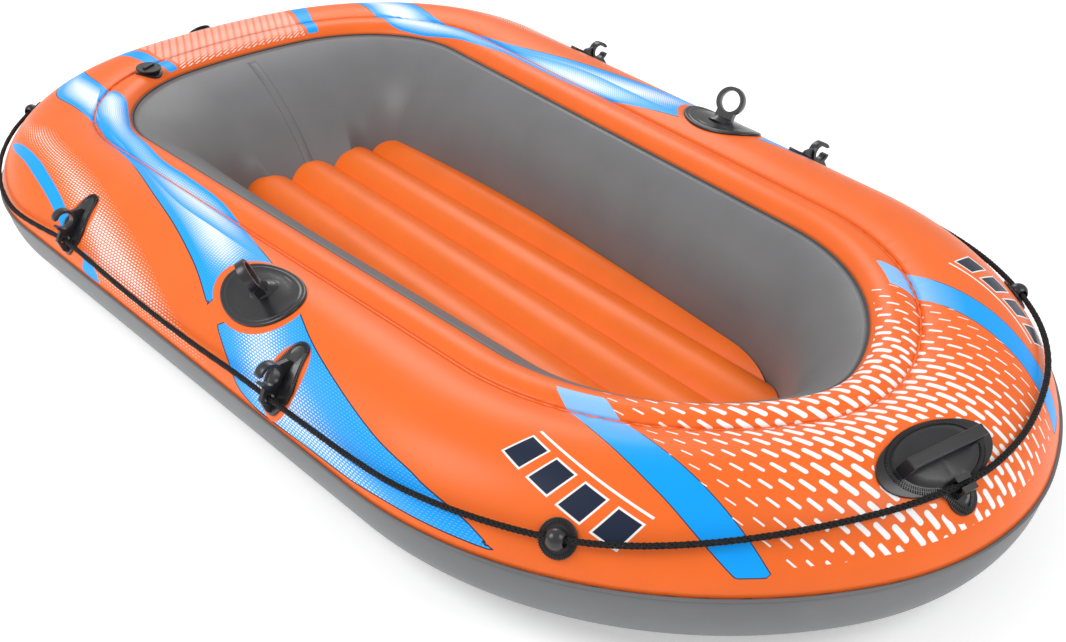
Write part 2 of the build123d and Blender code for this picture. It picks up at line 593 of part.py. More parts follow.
def valve_cap():
    bottom = VALVE_NECK_RISE + 2 * GASKET_SEAT + GASKET_THICK
    disc = Pos(0, 0, bottom + CAP_THICK / 2) * Cylinder(CAP_RADIUS, CAP_THICK)
    disc = fillet(disc.edges().group_by(Axis.Z)[-1], CAP_THICK * 0.3)
    grip = Pos(0, 0, bottom + CAP_THICK + CAP_GRIP_HEIGHT / 2) * Box(CAP_GRIP_LENGTH, CAP_GRIP_WIDTH,
                                                                     CAP_GRIP_HEIGHT)
    grip = fillet(grip.edges().group_by(Axis.Z)[-1], CAP_GRIP_WIDTH * 0.2)
    spigot_radius = VALVE_BORE_RADIUS - CAP_RUNNING_CLEARANCE
    spigot = Pos(0, 0, bottom - CAP_SPIGOT_DEPTH / 2) * Cylinder(spigot_radius, CAP_SPIGOT_DEPTH)
    return disc + grip + spigot


def outer_valve_plane():
    return hull_plane(arc_point("crown", 180.0), 180.0, OUTER_VALVE_ANGLE)


def inner_valve_plane():
    outward = INNER_VALVE_TURN - 180.0
    return hull_plane(arc_point("corner_starboard", outward), outward, INNER_VALVE_ANGLE, LOBE)


def screw_valve(plane, flange):
    seat = flange + plane * valve_seat_neck(VALVE_BORE_RADIUS, VALVE_NECK_WALL)
    seat = seat - plane * Cylinder(VALVE_BORE_RADIUS, VALVE_NECK_DEPTH * 4)
    return seat, plane * valve_gasket(), plane * valve_cap()


def valve_hole(plane, bore):
    return plane * Cylinder(bore + VALVE_NECK_WALL + VALVE_HOLE_CLEARANCE, VALVE_NECK_DEPTH * 2)


def floor_valve_plane():
    """On the middle floor tube, near the bow."""
    height = FLOOR_VALLEY_HEIGHT + FLOOR_RIDGE_RISE
    return Plane(origin=(FLOOR_VALVE_STATION, 0, height), x_dir=(1, 0, 0), z_dir=(0, 0, 1))


def floor_valve():
    wall = VALVE_NECK_WALL / 2
    depth = VALVE_NECK_DEPTH
    flange = Pos(0, 0, PATCH_GAP + PATCH_THICK / 2) * Cylinder(FLOOR_VALVE_FLANGE_RADIUS, PATCH_THICK)
    neck = Pos(0, 0, (VALVE_NECK_RISE - depth) / 2) * Cylinder(FLOOR_VALVE_BORE_RADIUS + wall,
                                                               VALVE_NECK_RISE + depth)
    seat = flange + neck - Cylinder(FLOOR_VALVE_BORE_RADIUS, depth * 4)
    head_bottom = VALVE_NECK_RISE + GASKET_SEAT
    head = Pos(0, 0, head_bottom + CAP_THICK / 2) * Cylinder(FLOOR_VALVE_BORE_RADIUS * 1.7, CAP_THICK)
    head = fillet(head.edges().group_by(Axis.Z)[-1], CAP_THICK * 0.3)
    stem = Pos(0, 0, head_bottom - CAP_SPIGOT_DEPTH / 2) * Cylinder(
        FLOOR_VALVE_BORE_RADIUS - CAP_RUNNING_CLEARANCE, CAP_SPIGOT_DEPTH)
    place = floor_valve_plane()
    return place * seat, place * (head + stem)


# ---- grab rope -------------------------------------------------------------------------------
# Starboard half of the route, from the knot behind the stern round to the bow.
ROPE_HALF = [
    (-979, -12, 153), (-976, -80, 151), (-965, -175, 151), (-937, -260, 156), (-894, -334, 164),
    (-841, -399, 168), (-775, -459, 165), (-705, -507, 156), (-626, -540, 148), (-545, -556, 143),
    (-485, -558, 143), (-402, -551, 150), (-318, -542, 159), (-232, -537, 156), (-145, -533, 153),
    (-60, -528, 151), (25, -523, 152), (108, -517, 154), (190, -510, 157), (270, -506, 159),
    (352, -499, 159), (430, -493, 160), (517, -483, 162), (595, -461, 165), (660, -434, 167),
    (717, -402, 168), (773, -359, 172), (825, -304, 179), (871, -239, 186), (907, -169, 191),
    (931, -109, 194), (944, -58, 196), (950, -18, 197),
]


def rope_route():
    starboard = [Vector(*point) for point in ROPE_HALF]
    port = [Vector(point.X, -point.Y, point.Z) for point in reversed(starboard)]
    return starboard + port


def bend_radii(points):
    radii = []
    for before, corner, after in zip(points, points[1:], points[2:]):
        turn = math.radians((corner - before).get_angle(after - corner))
        shorter = min((corner - before).length, (after - corner).length)
        radii.append(0.45 * shorter / math.tan(turn / 2))
    return radii


def safety_rope():
    points = rope_route()
    radii = bend_radii(points)
    print("rope bend radii", [round(radius) for radius in radii])
    path = FilletPolyline(*points, radius=radii)
    start = Plane(origin=path @ 0, z_dir=path % 0)
    rope = sweep(start * Circle(ROPE_DIAMETER / 2), path=path)
    section = math.pi * ROPE_DIAMETER ** 2 / 4
    print("rope length", round(path.length), "volume ratio", round(rope.volume / (section * path.length), 4))
    return rope


def rope_knot():
    """The two ends of the rope tied together, a short drum between them."""
    first = Vector(*ROPE_HALF[0])
    drum = Pos(first.X, 0, first.Z) * Rot(90, 0, 0) * Cylinder(KNOT_RADIUS, 2 * abs(first.Y))
    return fillet(drum.edges(), KNOT_RADIUS * 0.3)


def write(name, part):
    export_step(part, f"parts/{name}.step")
    print(name)


def main():
    os.makedirs("parts", exist_ok=True)
    outer_valve = outer_valve_plane()
    inner_valve = inner_valve_plane()

    write("outer_top_sheet", ring(outer_top_profile()) - valve_hole(outer_valve, VALVE_BORE_RADIUS))
    write("outer_bottom_sheet", ring(outer_bottom_profile()))
    write("chamber_divider", ring(divider_profile()))
    write("inner_top_sheet", ring(inner_top_profile()) - valve_hole(inner_valve, VALVE_BORE_RADIUS))
    write("inner_wall_sheet", ring(inner_wall_profile()))
    write("wall_lap_seam", wall_lap_seam())
    write("perimeter_weld", ring(perimeter_weld_profile()))
    write("groove_weld", ring(bead_profile(GROOVE_OFFSET, GROOVE_HEIGHT)))
    write("inner_edge_weld", ring(bead_profile(INNER_EDGE_OFFSET, INNER_EDGE_HEIGHT)))

    top, bottom, webs, edge = floor_pieces()
    place = floor_valve_plane()
    hole = place * Cylinder(FLOOR_VALVE_BORE_RADIUS + VALVE_NECK_WALL / 2 + VALVE_HOLE_CLEARANCE,
                            VALVE_NECK_DEPTH * 2)
    write("floor_top_sheet", top - hole)
    write("floor_bottom_sheet", bottom)
    write("floor_webs", webs)
    write("floor_edge_strip", edge)

    for side, part in both_sides(oarlock()).items():
        write(f"oarlock_{side}", part)
    for place_name, station in (("aft", CLIP_AFT_STATION), ("forward", CLIP_FORWARD_STATION)):
        for side, part in both_sides(oar_clip(station)).items():
            write(f"oar_clip_{place_name}_{side}", part)
    for side, part in both_sides(grommet("shoulder_starboard", -BOW_GROMMET_TURN)).items():
        write(f"grommet_bow_{side}", part)
    stern = grommet("corner_starboard", STERN_GROMMET_TURN - 180.0)
    for side, part in both_sides(stern).items():
        write(f"grommet_stern_{side}", part)
    write("bow_handle", bow_handle())

    flange = curved_patch(Circle(VALVE_FLANGE_RADIUS), outer_valve, ["crown"])
    for name, part in zip(("seat", "gasket", "cap"), screw_valve(outer_valve, flange)):
        write(f"outer_valve_{name}", part)
    flange = curved_patch(Circle(VALVE_FLANGE_RADIUS), inner_valve, ["corner_starboard"], LOBE)
    for name, part in zip(("seat", "gasket", "cap"), screw_valve(inner_valve, flange)):
        write(f"inner_valve_{name}", part)
    for name, part in zip(("seat", "plug"), floor_valve()):
        write(f"floor_valve_{name}", part)

    write("safety_rope", safety_rope())
    write("rope_knot", rope_knot())


main()
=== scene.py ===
import math

import bmesh
import bpy
import numpy as np
from mathutils import Matrix, Vector


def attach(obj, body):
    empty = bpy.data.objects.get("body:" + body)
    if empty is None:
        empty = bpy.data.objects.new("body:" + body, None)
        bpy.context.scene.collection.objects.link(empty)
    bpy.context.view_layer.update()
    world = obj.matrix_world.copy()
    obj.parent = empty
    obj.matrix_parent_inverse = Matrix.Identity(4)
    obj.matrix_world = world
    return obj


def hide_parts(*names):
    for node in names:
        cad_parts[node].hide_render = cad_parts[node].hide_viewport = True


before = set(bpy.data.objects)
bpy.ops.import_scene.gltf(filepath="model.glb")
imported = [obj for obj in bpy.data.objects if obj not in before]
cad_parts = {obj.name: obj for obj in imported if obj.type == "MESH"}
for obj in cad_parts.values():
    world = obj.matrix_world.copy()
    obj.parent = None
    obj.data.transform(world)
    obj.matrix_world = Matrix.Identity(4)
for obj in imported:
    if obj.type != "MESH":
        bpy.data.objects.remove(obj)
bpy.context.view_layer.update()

# ---- camera ----------------------------------------------------------------------------------
# Stands off the starboard bow at about head height and looks down into the raft.
VIEW_PLACE = Vector((1.60446, -1.09506, 1.13259))
VIEW_AZIMUTH = math.radians(54.9)
VIEW_ELEVATION = math.radians(31.178)
VIEW_ROLL = math.radians(-2.708)

ahead = Vector((-math.sin(VIEW_AZIMUTH) * math.cos(VIEW_ELEVATION),
                math.cos(VIEW_AZIMUTH) * math.cos(VIEW_ELEVATION), -math.sin(VIEW_ELEVATION)))
level_right = Vector((math.cos(VIEW_AZIMUTH), math.sin(VIEW_AZIMUTH), 0))
level_up = level_right.cross(ahead)
right = level_right * math.cos(VIEW_ROLL) + level_up * math.sin(VIEW_ROLL)
upward = level_up * math.cos(VIEW_ROLL) - level_right * math.sin(VIEW_ROLL)
lens = bpy.data.cameras.new("raft_view")
lens.lens = 46.405
lens.sensor_width = 36.0
lens.shift_x = 0.0392
lens.shift_y = -0.0068
camera = bpy.data.objects.new("raft_view", lens)
camera.matrix_world = Matrix(((right.x, upward.x, -ahead.x, VIEW_PLACE.x),
                              (right.y, upward.y, -ahead.y, VIEW_PLACE.y),
                              (right.z, upward.z, -ahead.z, VIEW_PLACE.z),
                              (0, 0, 0, 1)))
bpy.context.scene.collection.objects.link(camera)
bpy.context.scene.camera = camera
bpy.context.scene.view_settings.view_transform = "Standard"


# ---- grab rope -------------------------------------------------------------------------------
# Black braided polyester, 8 mm across. It runs right round the hull through every clip, grommet
# and the bow handle's eye, and its ends are tied behind the stern.
ROPE_HALF = [
    (-0.979, -0.012, 0.153), (-0.976, -0.080, 0.151), (-0.965, -0.175, 0.151), (-0.937, -0.260, 0.156),
    (-0.894, -0.334, 0.164), (-0.841, -0.399, 0.168), (-0.775, -0.459, 0.165), (-0.705, -0.507, 0.156),
    (-0.626, -0.540, 0.148), (-0.545, -0.556, 0.143), (-0.485, -0.558, 0.143), (-0.402, -0.551, 0.150),
    (-0.318, -0.542, 0.159), (-0.232, -0.537, 0.156), (-0.145, -0.533, 0.153), (-0.060, -0.528, 0.151),
    (0.025, -0.523, 0.152), (0.108, -0.517, 0.154), (0.190, -0.510, 0.157), (0.270, -0.506, 0.159),
    (0.352, -0.499, 0.159), (0.430, -0.493, 0.160), (0.517, -0.483, 0.162), (0.595, -0.461, 0.165),
    (0.660, -0.434, 0.167), (0.717, -0.402, 0.168), (0.773, -0.359, 0.172), (0.825, -0.304, 0.179),
    (0.871, -0.239, 0.186), (0.907, -0.169, 0.191), (0.931, -0.109, 0.194), (0.944, -0.058, 0.196),
    (0.950, -0.018, 0.197),
]


def mesh_object(name, points, faces, smooth=True):
    mesh = bpy.data.meshes.new(name)
    mesh.from_pydata([tuple(p) for p in points], [], [tuple(f) for f in faces])
    mesh.update()
    if smooth:
        mesh.shade_smooth()
    made = bpy.data.objects.new(name, mesh)
    bpy.context.scene.collection.objects.link(made)
    return made


def plastic(name, colour, roughness, coat=0.0, grain=900.0, grain_depth=0.05, tone=0.12,
            shine=0.22):
    """Moulded or sheet plastic: slightly uneven tone, fine grain in the surface."""
    made = bpy.data.materials.new(name)
    made.use_nodes = True
    tree = made.node_tree
    shader = tree.nodes["Principled BSDF"]
    shader.inputs["Roughness"].default_value = roughness
    shader.inputs["Specular IOR Level"].default_value = shine
    shader.inputs["Coat Weight"].default_value = coat
    shader.inputs["Coat Roughness"].default_value = 0.25
    place = tree.nodes.new("ShaderNodeTexCoord")
    cloud = tree.nodes.new("ShaderNodeTexNoise")
    cloud.inputs["Scale"].default_value = 14.0
    cloud.inputs["Detail"].default_value = 5.0
    tree.links.new(place.outputs["Object"], cloud.inputs["Vector"])
    tones = tree.nodes.new("ShaderNodeValToRGB")
    dark = [c * (1 - tone) for c in colour]
    light = [min(1.0, c * (1 + tone)) for c in colour]
    tones.color_ramp.elements[0].color = (*dark, 1)
    tones.color_ramp.elements[0].position = 0.3
    tones.color_ramp.elements[1].color = (*light, 1)
    tones.color_ramp.elements[1].position = 0.7
    tree.links.new(cloud.outputs["Fac"], tones.inputs["Fac"])
    tree.links.new(tones.outputs["Color"], shader.inputs["Base Color"])
    fine = tree.nodes.new("ShaderNodeTexNoise")
    fine.inputs["Scale"].default_value = grain
    fine.inputs["Detail"].default_value = 3.0
    tree.links.new(place.outputs["Object"], fine.inputs["Vector"])
    bump = tree.nodes.new("ShaderNodeBump")
    bump.inputs["Strength"].default_value = grain_depth
    bump.inputs["Distance"].default_value = 0.001
    tree.links.new(fine.outputs["Fac"], bump.inputs["Height"])
    tree.links.new(bump.outputs["Normal"], shader.inputs["Normal"])
    return made


def braid(line, strands, radius, strand_radius, pitch, sides=5):
    """Over-and-under strands round a line: half of them turn each way."""
    line = np.array(line)
    run = np.r_[0, np.cumsum(np.linalg.norm(np.diff(line, axis=0), axis=1))]
    tangent = np.gradient(line, axis=0)
    tangent /= np.linalg.norm(tangent, axis=1, keepdims=True)
    across = np.cross(tangent, (0, 0, 1.0))
    across /= np.linalg.norm(across, axis=1, keepdims=True)
    above = np.cross(across, tangent)
    points, faces = [], []
    for strand in range(strands):
        way = 1 if strand % 2 else -1
        angle = way * (2 * math.pi * run / pitch) + 2 * math.pi * (strand // 2) / (strands / 2)
        weave = np.cos(angle * strands / 2 + (0 if way > 0 else math.pi)) * strand_radius * 0.45
        out = across * np.cos(angle)[:, None] + above * np.sin(angle)[:, None]
        side = above * np.cos(angle)[:, None] - across * np.sin(angle)[:, None]
        centre = line + out * (radius + weave)[:, None]
        base = len(points)
        for k in range(sides):
            turn = 2 * math.pi * k / sides
            points.extend(centre + out * math.cos(turn) * strand_radius
                          + side * math.sin(turn) * strand_radius * 1.5)
        count = len(line)
        for k in range(sides):
            first, second = base + k * count, base + (k + 1) % sides * count
            faces.extend((first + i, first + i + 1, second + i + 1, second + i) for i in range(count - 1))
        faces.append([base + k * count for k in range(sides)])
        faces.append([base + k * count + count - 1 for k in reversed(range(sides))])
    return points, faces


def face_outwards(piece, merge=0.0):
    work = bmesh.new()
    work.from_mesh(piece.data)
    if merge:
        bmesh.ops.remove_doubles(work, verts=work.verts, dist=merge)
    bmesh.ops.recalc_face_normals(work, faces=work.faces)
    work.to_mesh(piece.data)
    work.free()


route = [Vector(p) for p in ROPE_HALF] + [Vector((x, -y, z)) for x, y, z in reversed(ROPE_HALF)]
route_curve = bpy.data.curves.new("rope_route", "CURVE")
route_curve.dimensions = "3D"
spline = route_curve.splines.new("NURBS")
spline.points.add(len(route) - 1)
for control, place in zip(spline.points, route):
    control.co = (*place, 1)
spline.order_u = 3
spline.use_endpoint_u = True
spline.resolution_u = 28
route_object = bpy.data.objects.new("rope_route", route_curve)
bpy.context.scene.collection.objects.link(route_object)
route_mesh = bpy.data.meshes.new_from_object(route_object)
rope_line = [v.co.copy() for v in route_mesh.vertices]
bpy.data.objects.remove(route_object)
bpy.data.meshes.remove(route_mesh)

rope_points, rope_faces = braid(rope_line, 8, 0.0026, 0.00115, 0.026)
rope = mesh_object("grab_rope", rope_points, rope_faces)
face_outwards(rope)
rope_black = plastic("rope_black", (0.012, 0.011, 0.011), 0.55, grain=2500.0, grain_depth=0.3)
rope.data.materials.append(rope_black)
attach(rope, "hull")
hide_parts("safety_rope")
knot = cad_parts["rope_knot"]
knot.data.materials.clear()
knot.data.materials.append(rope_black)


# ---- outer chamber's top sheet and the inner chamber's top lobe -------------------------------
# Orange PVC film, printed in blue and white before it was welded. The outer tube is round; the
# inner chamber shows as a narrow lobe between the groove and the cockpit's edge.
HULL_LENGTH, HULL_BEAM = 1.960, 1.110
SIDE_TAPER = math.radians(3.5)
CROWN_RADIUS, CORNER_RADIUS, SHOULDER_RADIUS, NOSE_RADIUS = 1.040, 0.470, 0.588, 0.366
TOP_CENTRE, TOP_RADIUS = (0.125, 0.09565), 0.12735
GROOVE = (0.175, 0.21277)
INNER_EDGE = (0.237, 0.20227)
FLOOR_EDGE = (0.335, 0.022)
FILM = 0.0012


def half_outline(step):
    """Port half of the widest line from bow to stern: points, outward directions, distance run."""
    crown = np.array([-HULL_LENGTH / 2 + CROWN_RADIUS, 0.0])
    corner_y = HULL_BEAM / 2 - CORNER_RADIUS
    corner = np.array([crown[0] - math.sqrt((CROWN_RADIUS - CORNER_RADIUS) ** 2 - corner_y ** 2), corner_y])
    nose = np.array([HULL_LENGTH / 2 - NOSE_RADIUS, 0.0])
    square = np.array([math.sin(SIDE_TAPER), math.cos(SIDE_TAPER)])
    along = np.array([math.cos(SIDE_TAPER), -math.sin(SIDE_TAPER)])
    level = corner @ square + CORNER_RADIUS - SHOULDER_RADIUS
    gap = nose - square * level
    off_line = np.linalg.norm(gap - along * (gap @ along))
    back = math.sqrt((SHOULDER_RADIUS - NOSE_RADIUS) ** 2 - off_line ** 2)
    shoulder = square * level + along * (gap @ along - back)
    side = math.pi / 2 - SIDE_TAPER
    nose_end = math.atan2(nose[1] - shoulder[1], nose[0] - shoulder[0])
    corner_end = math.atan2(corner[1] - crown[1], corner[0] - crown[0])
    arcs = [(nose, NOSE_RADIUS, 0.0, nose_end), (shoulder, SHOULDER_RADIUS, nose_end, side),
            (corner, CORNER_RADIUS, side, corner_end), (crown, CROWN_RADIUS, corner_end, math.pi)]
    points, outward, run, done = [], [], [], 0.0
    for number, (centre, radius, first, last) in enumerate(arcs):
        if number == 2:
            start = shoulder + SHOULDER_RADIUS * square
            length = np.linalg.norm(corner + CORNER_RADIUS * square - start)
            for share in np.arange(0, 1, step / length):
                points.append(start - along * share * length)
                outward.append(square)
                run.append(done + share * length)
            done += length
        length = radius * (last - first)
        for share in np.arange(0, 1, step / length):
            bearing = first + (last - first) * share
            direction = np.array([math.cos(bearing), math.sin(bearing)])
            points.append(centre + radius * direction)
            outward.append(direction)
            run.append(done + share * length)
        done += length
    points.append(np.array([-HULL_LENGTH / 2, 0.0]))
    outward.append(np.array([-1.0, 0.0]))
    run.append(done)
    return np.array(points), np.array(outward), np.array(run)


HALF_P, HALF_N, HALF_RUN = half_outline(0.006)
LOOP_P = np.vstack([HALF_P, HALF_P[-2:0:-1] * (1, -1)])
LOOP_N = np.vstack([HALF_N, HALF_N[-2:0:-1] * (1, -1)])
LOOP_RUN = np.r_[HALF_RUN, HALF_RUN[-2:0:-1]]
LOOP_SIDE = np.r_[np.ones(len(HALF_RUN)), -np.ones(len(HALF_RUN) - 2)]
STERN_RUN = HALF_RUN[-1]


def arc_between(start, end, bulge, count):
    """Points of the arc that rises by bulge above the chord from start to end."""
    start, end = np.array(start), np.array(end)
    chord = np.linalg.norm(end - start)
    radius = (chord ** 2 / 4 + bulge ** 2) / (2 * bulge)
    along = (end - start) / chord
    above = np.array([-along[1], along[0]])
    centre = (start + end) / 2 - above * (radius - bulge)
    half = math.asin(min(1.0, chord / 2 / radius))
    angles = np.linspace(-half, half, count)
    return centre + radius * (np.sin(angles)[:, None] * along + np.cos(angles)[:, None] * above)


def top_arc(first, last, count):
    """Points of the outer tube's round top, by degrees up from level."""
    angles = np.radians(np.linspace(first, last, count))
    return np.array(TOP_CENTRE) + TOP_RADIUS * np.c_[-np.cos(angles), np.sin(angles)]


def shell(line, thickness, back_count=7):
    """Closed section: the line, and the same line set back by the film's thickness."""
    slope = np.gradient(line, axis=0)
    slope /= np.linalg.norm(slope, axis=1, keepdims=True)
    inside = line + np.c_[slope[:, 1], -slope[:, 0]] * thickness
    keep = np.linspace(0, len(line) - 1, back_count).round().astype(int)[::-1]
    return np.vstack([line, inside[keep]])


def swept(name, section, shape=None):
    """A closed section carried round the hull. shape(points) may move the points before they are joined."""
    stations, count = len(LOOP_P), len(section)
    points = np.zeros((stations, count, 3))
    for k, (offset, height) in enumerate(section):
        points[:, k, :2] = LOOP_P - LOOP_N * offset
        points[:, k, 2] = height
    if shape is not None:
        points = shape(points)
    index = np.arange(stations * count).reshape(stations, count)
    ahead_index, up_index = np.roll(index, -1, axis=0), np.roll(index, -1, axis=1)
    both = np.roll(ahead_index, -1, axis=1)
    faces = np.stack([index, ahead_index, both, up_index], axis=-1).reshape(-1, 4)
    made = mesh_object(name, points.reshape(-1, 3), faces.tolist())
    face_outwards(made)
    return made


def put_attribute(piece, name, values):
    layer = piece.data.attributes.new(name, "FLOAT", "POINT")
    layer.data.foreach_set("value", np.asarray(values, np.float32).ravel())


def rounded(points, steps=8):
    """Smooth curve through a print edge's points."""
    p = np.vstack([2 * np.array(points[0]) - points[1], points, 2 * np.array(points[-1]) - points[-2]])
    out = []
    for a, b, c, d in zip(p, p[1:], p[2:], p[3:]):
        for t in np.arange(0, 1, 1 / steps):
            out.append(0.5 * (2 * b + (c - a) * t + (2 * a - 5 * b + 4 * c - d) * t * t
                              + (3 * b - a - 3 * c + d) * t ** 3))
    out.append(p[-2])
    return np.array(out)


def depth_inside(edges, x, y):
    """Distance inside (positive) or outside (negative) the shape that the edge curves close."""
    outline = np.vstack([rounded(edge) if len(edge) > 2 else np.array(edge) for edge in edges])
    best = np.full(x.shape, 9.0)
    inside = np.zeros(x.shape, bool)
    for (ax, ay), (bx, by) in zip(outline, np.roll(outline, -1, axis=0)):
        dx, dy = bx - ax, by - ay
        length = dx * dx + dy * dy
        if length < 1e-12:
            continue
        t = np.clip(((x - ax) * dx + (y - ay) * dy) / length, 0, 1)
        best = np.minimum(best, np.hypot(x - ax - t * dx, y - ay - t * dy))
        crosses = (ay > y) != (by > y)
        inside ^= crosses & (x < ax + (y - ay) * dx / (dy if dy else 1e-12))
    return np.where(inside, best, -best)


def oval_gap(x, y, place, reach):
    """Rough distance outside an oval fitting."""
    share = np.hypot((x - place[0]) / reach[0], (y - place[1]) / reach[1])
    return (share - 1) * min(reach)


# Print shapes: distance run from the bow, and distance up the film from the outer weld, in metres.
STERN_SASH = [
    [(2.245, 0.100), (2.160, 0.115), (2.070, 0.145), (1.980, 0.195), (1.900, 0.222), (1.810, 0.230),
     (1.640, 0.212), (1.480, 0.175), (1.380, 0.152), (1.300, 0.130), (1.240, 0.110), (1.180, 0.083)],
    [(1.180, 0.083), (1.150, 0.186)],
    [(1.150, 0.186), (1.240, 0.208), (1.320, 0.230), (1.400, 0.245), (1.500, 0.250), (1.590, 0.252),
     (1.700, 0.270), (1.850, 0.287), (1.940, 0.290), (2.040, 0.280), (2.100, 0.250), (2.150, 0.205),
     (2.190, 0.165), (2.245, 0.120)],
]
STERN_SASH_FOLD = [
    [(2.160, 0.190), (2.130, 0.210), (2.038, 0.223), (1.861, 0.239), (1.723, 0.238), (1.627, 0.222),
     (1.447, 0.190), (1.313, 0.185), (1.150, 0.186)],
    [(1.150, 0.186), (1.150, 0.400), (2.300, 0.400), (2.300, 0.190)],
]
MIDDLE_SASH = [
    [(1.140, 0.068), (1.088, 0.038), (1.052, 0.015), (1.006, 0.006), (0.960, 0.006)],
    [(0.960, 0.006), (0.900, 0.008), (0.808, 0.010), (0.740, 0.014), (0.672, 0.014), (0.574, 0.013)],
    [(0.574, 0.013), (0.622, 0.038), (0.686, 0.055), (0.716, 0.063), (0.792, 0.076), (0.866, 0.093),
     (0.962, 0.120), (1.040, 0.150)],
]
MIDDLE_DOTS = [
    [(1.150, 0.100), (1.085, 0.055), (1.040, 0.020), (0.980, -0.010), (0.850, -0.010), (0.740, -0.004),
     (0.660, 0.004)],
    [(0.660, 0.004), (0.760, 0.034), (0.850, 0.056), (0.930, 0.082), (1.000, 0.108), (1.060, 0.150)],
]
QUARTER_STRIPE = [
    [(1.960, 0.062), (1.900, 0.090), (1.830, 0.106), (1.760, 0.108), (1.700, 0.098), (1.640, 0.083),
     (1.580, 0.062), (1.520, 0.040), (1.470, 0.020), (1.450, 0.006)],
    [(1.450, 0.006), (1.505, 0.006), (1.560, 0.030), (1.620, 0.052), (1.680, 0.071), (1.745, 0.084),
     (1.810, 0.088), (1.870, 0.080), (1.960, 0.062)],
]
QUARTER_DOTS = [
    [(2.050, 0.095), (1.957, 0.120), (1.870, 0.155), (1.760, 0.160), (1.660, 0.150), (1.577, 0.137),
     (1.439, 0.106), (1.335, 0.078), (1.231, 0.042), (1.110, 0.008)],
    [(1.110, 0.008), (1.250, 0.006), (1.440, 0.008), (1.500, 0.030), (1.600, 0.070), (1.700, 0.100),
     (1.800, 0.112), (1.900, 0.100), (2.050, 0.075)],
]
BOW_STRIPE = [
    [(0.575, 0.258), (0.565, 0.250), (0.500, 0.208), (0.430, 0.163), (0.375, 0.122), (0.338, 0.090),
     (0.275, 0.024)],
    [(0.275, 0.024), (0.235, 0.024)],
    [(0.235, 0.024), (0.262, 0.068), (0.296, 0.110), (0.340, 0.152), (0.412, 0.208), (0.468, 0.250),
     (0.480, 0.258)],
]
BOW_DASHES = [
    [(-0.400, 0.034), (0.225, 0.034)],
    [(0.225, 0.034), (0.262, 0.068), (0.296, 0.110), (0.340, 0.152), (0.412, 0.208), (0.468, 0.250),
     (0.500, 0.286)],
    [(0.500, 0.286), (-0.400, 0.286)],
]
BOW_PRINT_SHIFT = 0.035          # the bow print's middle lies this far to starboard
STERN_STRIPE = (0.195, 0.236)    # from and to, each side of dead astern
STERN_PATCH = 0.182


def print_layers(piece, run, rise, side, flat_x, flat_y):
    """Puts every print shape's depth on the sheet's points."""
    bow_run = run + side * BOW_PRINT_SHIFT
    put_attribute(piece, "stern_sash", depth_inside(STERN_SASH, run, rise))
    put_attribute(piece, "stern_sash_fold", depth_inside(STERN_SASH_FOLD, run, rise))
    put_attribute(piece, "middle_sash", depth_inside(MIDDLE_SASH, run, rise))
    put_attribute(piece, "middle_dots", depth_inside(MIDDLE_DOTS, run, rise))
    put_attribute(piece, "quarter_stripe", depth_inside(QUARTER_STRIPE, run, rise))
    put_attribute(piece, "quarter_dots", depth_inside(QUARTER_DOTS, run, rise))
    stripe = depth_inside(BOW_STRIPE, bow_run, rise)
    put_attribute(piece, "bow_stripe", stripe)
    put_attribute(piece, "bow_dashes", depth_inside(BOW_DASHES, np.abs(bow_run), rise))
    put_attribute(piece, "bow_fade", -stripe)
    astern = STERN_RUN - run
    first, last = STERN_STRIPE
    put_attribute(piece, "stern_stripe", np.minimum(np.minimum(astern - first, last - astern),
                                                    np.minimum(rise - 0.055, 0.284 - rise)))
    put_attribute(piece, "stern_patch", np.minimum(STERN_PATCH - astern,
                                                   np.minimum(rise - 0.055, 0.286 - rise)))
    gaps = [oval_gap(run, rise, (1.116, 0.138), (0.089, 0.062)),
            oval_gap(run, rise, (0.9725, 0.061), (0.034, 0.056)),
            oval_gap(run, rise, (1.562, 0.061), (0.034, 0.056)),
            oval_gap(bow_run, rise, (0.003, 0.118), (0.092, 0.049)),
            oval_gap(bow_run, rise, (0.003, 0.069), (0.029, 0.029)),
            oval_gap(run, rise, (0.5035, 0.0466), (0.028, 0.028)),
            oval_gap(run, rise, (2.1334, 0.0466), (0.028, 0.028))]
    put_attribute(piece, "fitting_gap", np.minimum.reduce(gaps))
    put_attribute(piece, "film_run", run)
    put_attribute(piece, "film_rise", rise)
    put_attribute(piece, "flat_x", flat_x)
    put_attribute(piece, "flat_y", flat_y)
    tilt = math.radians(25.5)
    bx, by = bow_run - 0.472, rise - 0.100
    put_attribute(piece, "badge_x", bx * math.cos(tilt) + by * math.sin(tilt))
    put_attribute(piece, "badge_y", by * math.cos(tilt) - bx * math.sin(tilt))


